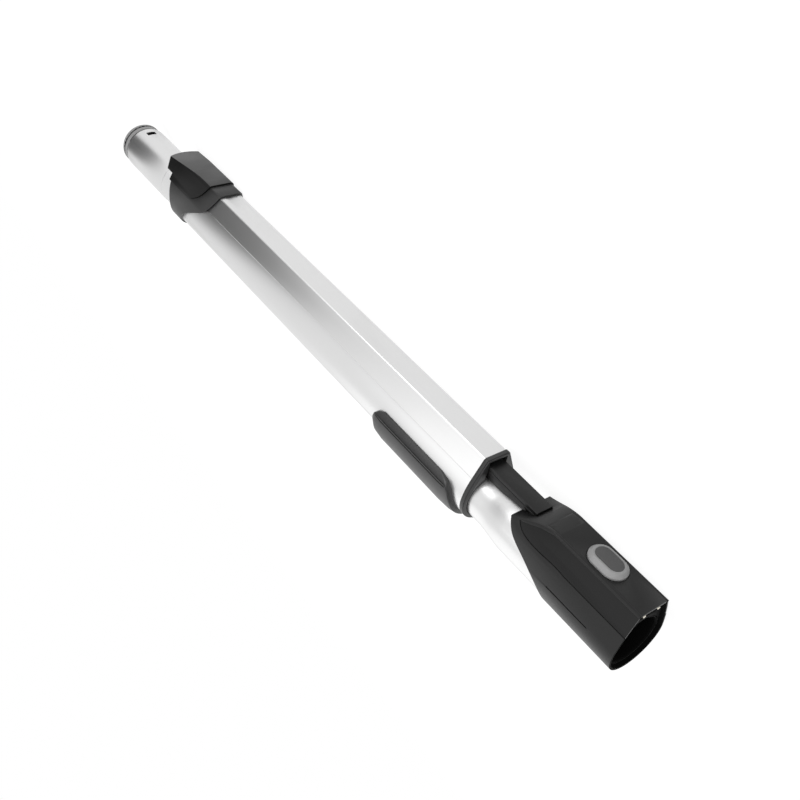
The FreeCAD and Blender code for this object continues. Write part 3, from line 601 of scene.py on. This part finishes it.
def seen_directly(nodes, links):
    """1 for rays from the camera, off a gloss or through glass, else 0."""
    path = nodes.new("ShaderNodeLightPath")
    seen = path.outputs["Is Camera Ray"]
    for name in ("Is Glossy Ray", "Is Transmission Ray"):
        either = nodes.new("ShaderNodeMath")
        either.operation = "MAXIMUM"
        links.new(seen, either.inputs[0])
        links.new(path.outputs[name], either.inputs[1])
        seen = either.outputs["Value"]
    return path, seen


def make_white_world(stage):
    """A white set all round, with one dim side that only reflections show."""
    world = bpy.data.worlds.new("White set")
    world.use_nodes = True
    nodes, links = world.node_tree.nodes, world.node_tree.links
    nodes.clear()
    path, seen = seen_directly(nodes, links)
    place = nodes.new("ShaderNodeTexCoord")
    toward = nodes.new("ShaderNodeVectorMath")
    toward.operation = "DOT_PRODUCT"
    toward.inputs[1].default_value = DIM_SIDE
    links.new(place.outputs["Generated"], toward.inputs[0])
    dim = nodes.new("ShaderNodeMapRange")
    dim.interpolation_type = "SMOOTHSTEP"
    dim.inputs["From Min"].default_value = DIM_BEGIN
    dim.inputs["From Max"].default_value = DIM_FULL
    dim.inputs["To Min"].default_value = 1.0
    dim.inputs["To Max"].default_value = stage.flag_level
    links.new(toward.outputs["Value"], dim.inputs["Value"])
    bright = nodes.new("ShaderNodeMath")
    bright.operation = "MAXIMUM"
    links.new(dim.outputs["Result"], bright.inputs[0])
    links.new(path.outputs["Is Camera Ray"], bright.inputs[1])
    shown = nodes.new("ShaderNodeBackground")
    shown.inputs["Color"].default_value = (1, 1, 1, 1)
    links.new(bright.outputs["Value"], shown.inputs["Strength"])
    fill = nodes.new("ShaderNodeBackground")
    fill.inputs["Color"].default_value = (1, 1, 1, 1)
    fill.inputs["Strength"].default_value = stage.fill_level
    mix = nodes.new("ShaderNodeMixShader")
    output = nodes.new("ShaderNodeOutputWorld")
    links.new(seen, mix.inputs["Fac"])
    links.new(fill.outputs["Background"], mix.inputs[1])
    links.new(shown.outputs["Background"], mix.inputs[2])
    links.new(mix.outputs["Shader"], output.inputs["Surface"])
    bpy.context.scene.world = world


def make_floor(stage):
    """A white floor that keeps the wand's soft shadow."""
    bpy.ops.object.select_all(action="DESELECT")
    bpy.ops.mesh.primitive_plane_add(size=stage.floor_size, location=(0, 0, 0))
    floor = bpy.context.active_object
    floor.name = "floor"
    material, nodes, links, shader = new_material("white floor")
    shader.inputs["Base Color"].default_value = (FLOOR_WHITE, FLOOR_WHITE, FLOOR_WHITE, 1)
    shader.inputs["Roughness"].default_value = 1.0
    shader.inputs["Specular IOR Level"].default_value = 0.0
    path, seen = seen_directly(nodes, links)
    glow = nodes.new("ShaderNodeEmission")
    glow.inputs["Strength"].default_value = FLOOR_GLOW
    shade = nodes.new("ShaderNodeBsdfDiffuse")
    shade.inputs["Color"].default_value = (FLOOR_SHADE, FLOOR_SHADE, FLOOR_SHADE, 1)
    both = nodes.new("ShaderNodeAddShader")
    mix = nodes.new("ShaderNodeMixShader")
    links.new(glow.outputs["Emission"], both.inputs[0])
    links.new(shade.outputs["BSDF"], both.inputs[1])
    links.new(seen, mix.inputs["Fac"])
    links.new(shader.outputs["BSDF"], mix.inputs[1])
    links.new(both.outputs["Shader"], mix.inputs[2])
    links.new(mix.outputs["Shader"], nodes["Material Output"].inputs["Surface"])
    floor.data.materials.append(material)


def make_lamp(name, power):
    """One of the square soft lamps, with its power."""
    place, aim, size = LAMPS[name]
    lamp = bpy.data.lights.new(name, "AREA")
    lamp.shape = "SQUARE"
    lamp.size = size
    lamp.energy = power
    holder = bpy.data.objects.new(name, lamp)
    holder.location = place
    holder.rotation_mode = "QUATERNION"
    holder.rotation_quaternion = (Vector(aim) - Vector(place)).to_track_quat("-Z", "Y")
    bpy.context.scene.collection.objects.link(holder)


def make_camera(stage):
    """The camera where the photograph was taken from."""
    camera = bpy.data.cameras.new("photo camera")
    camera.sensor_width = 36.0
    camera.lens = stage.lens
    holder = bpy.data.objects.new("photo camera", camera)
    holder.location = CAMERA_PLACE
    holder.rotation_mode = "QUATERNION"
    upright = (CAMERA_AIM - CAMERA_PLACE).to_track_quat("-Z", "Y")
    holder.rotation_quaternion = upright @ Quaternion((0, 0, 1), CAMERA_ROLL)
    bpy.context.scene.collection.objects.link(holder)
    bpy.context.scene.camera = holder


class WAND_OT_stage(bpy.types.Operator):
    """Set up the white floor, the set, the lamps and the camera"""

    bl_idname = "wand.stage"
    bl_label = "Stage"
    bl_options = {"REGISTER", "UNDO"}

    def execute(self, context):
        stage = context.scene.wand_stage
        context.scene.view_settings.view_transform = "Standard"
        make_white_world(stage)
        make_floor(stage)
        make_lamp("key lamp", stage.key_power)
        make_lamp("back lamp", stage.back_power)
        make_lamp("front lamp", stage.front_power)
        make_camera(stage)
        return {"FINISHED"}


PIECE_OPERATORS = (WAND_OT_tubes, WAND_OT_upper_end, WAND_OT_collar, WAND_OT_lock, WAND_OT_lower_end,
                   WAND_OT_rail, WAND_OT_housing, WAND_OT_button, WAND_OT_latch, WAND_OT_contacts)


class WAND_PT_panel(bpy.types.Panel):
    """Lists the wand's sizes, colours and operators"""

    bl_idname = "WAND_PT_panel"
    bl_label = "Vacuum wand"
    bl_space_type = "VIEW_3D"
    bl_region_type = "UI"
    bl_category = "Wand"

    def draw(self, context):
        scene = context.scene
        for title, group in (("Sizes", scene.wand_sizes), ("Colours", scene.wand_colours),
                             ("Stage", scene.wand_stage)):
            box = self.layout.box()
            box.label(text=title)
            for name in group.bl_rna.properties.keys():
                if name not in ("rna_type", "name"):
                    box.prop(group, name)
        for operator in PIECE_OPERATORS:
            self.layout.operator(operator.bl_idname)
        self.layout.operator(WAND_OT_stage.bl_idname)


CLASSES = (WandSizes, WandColours, WandStage) + PIECE_OPERATORS + (WAND_OT_stage, WAND_PT_panel)


def register():
    """Registers the classes and hangs their properties on the scene."""
    for cls in CLASSES:
        bpy.utils.register_class(cls)
    bpy.types.Scene.wand_sizes = PointerProperty(type=WandSizes)
    bpy.types.Scene.wand_colours = PointerProperty(type=WandColours)
    bpy.types.Scene.wand_stage = PointerProperty(type=WandStage)


def unregister():
    """Takes back what register did."""
    del bpy.types.Scene.wand_stage
    del bpy.types.Scene.wand_colours
    del bpy.types.Scene.wand_sizes
    for cls in reversed(CLASSES):
        bpy.utils.unregister_class(cls)


def main():
    """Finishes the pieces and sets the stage."""
    register()
    bpy.ops.wand.tubes()
    bpy.ops.wand.upper_end()
    bpy.ops.wand.collar()
    bpy.ops.wand.lock()
    bpy.ops.wand.lower_end()
    bpy.ops.wand.rail()
    bpy.ops.wand.housing()
    bpy.ops.wand.button()
    bpy.ops.wand.latch()
    bpy.ops.wand.contacts()
    bpy.ops.wand.stage()


if __name__ == "__main__":
    main()
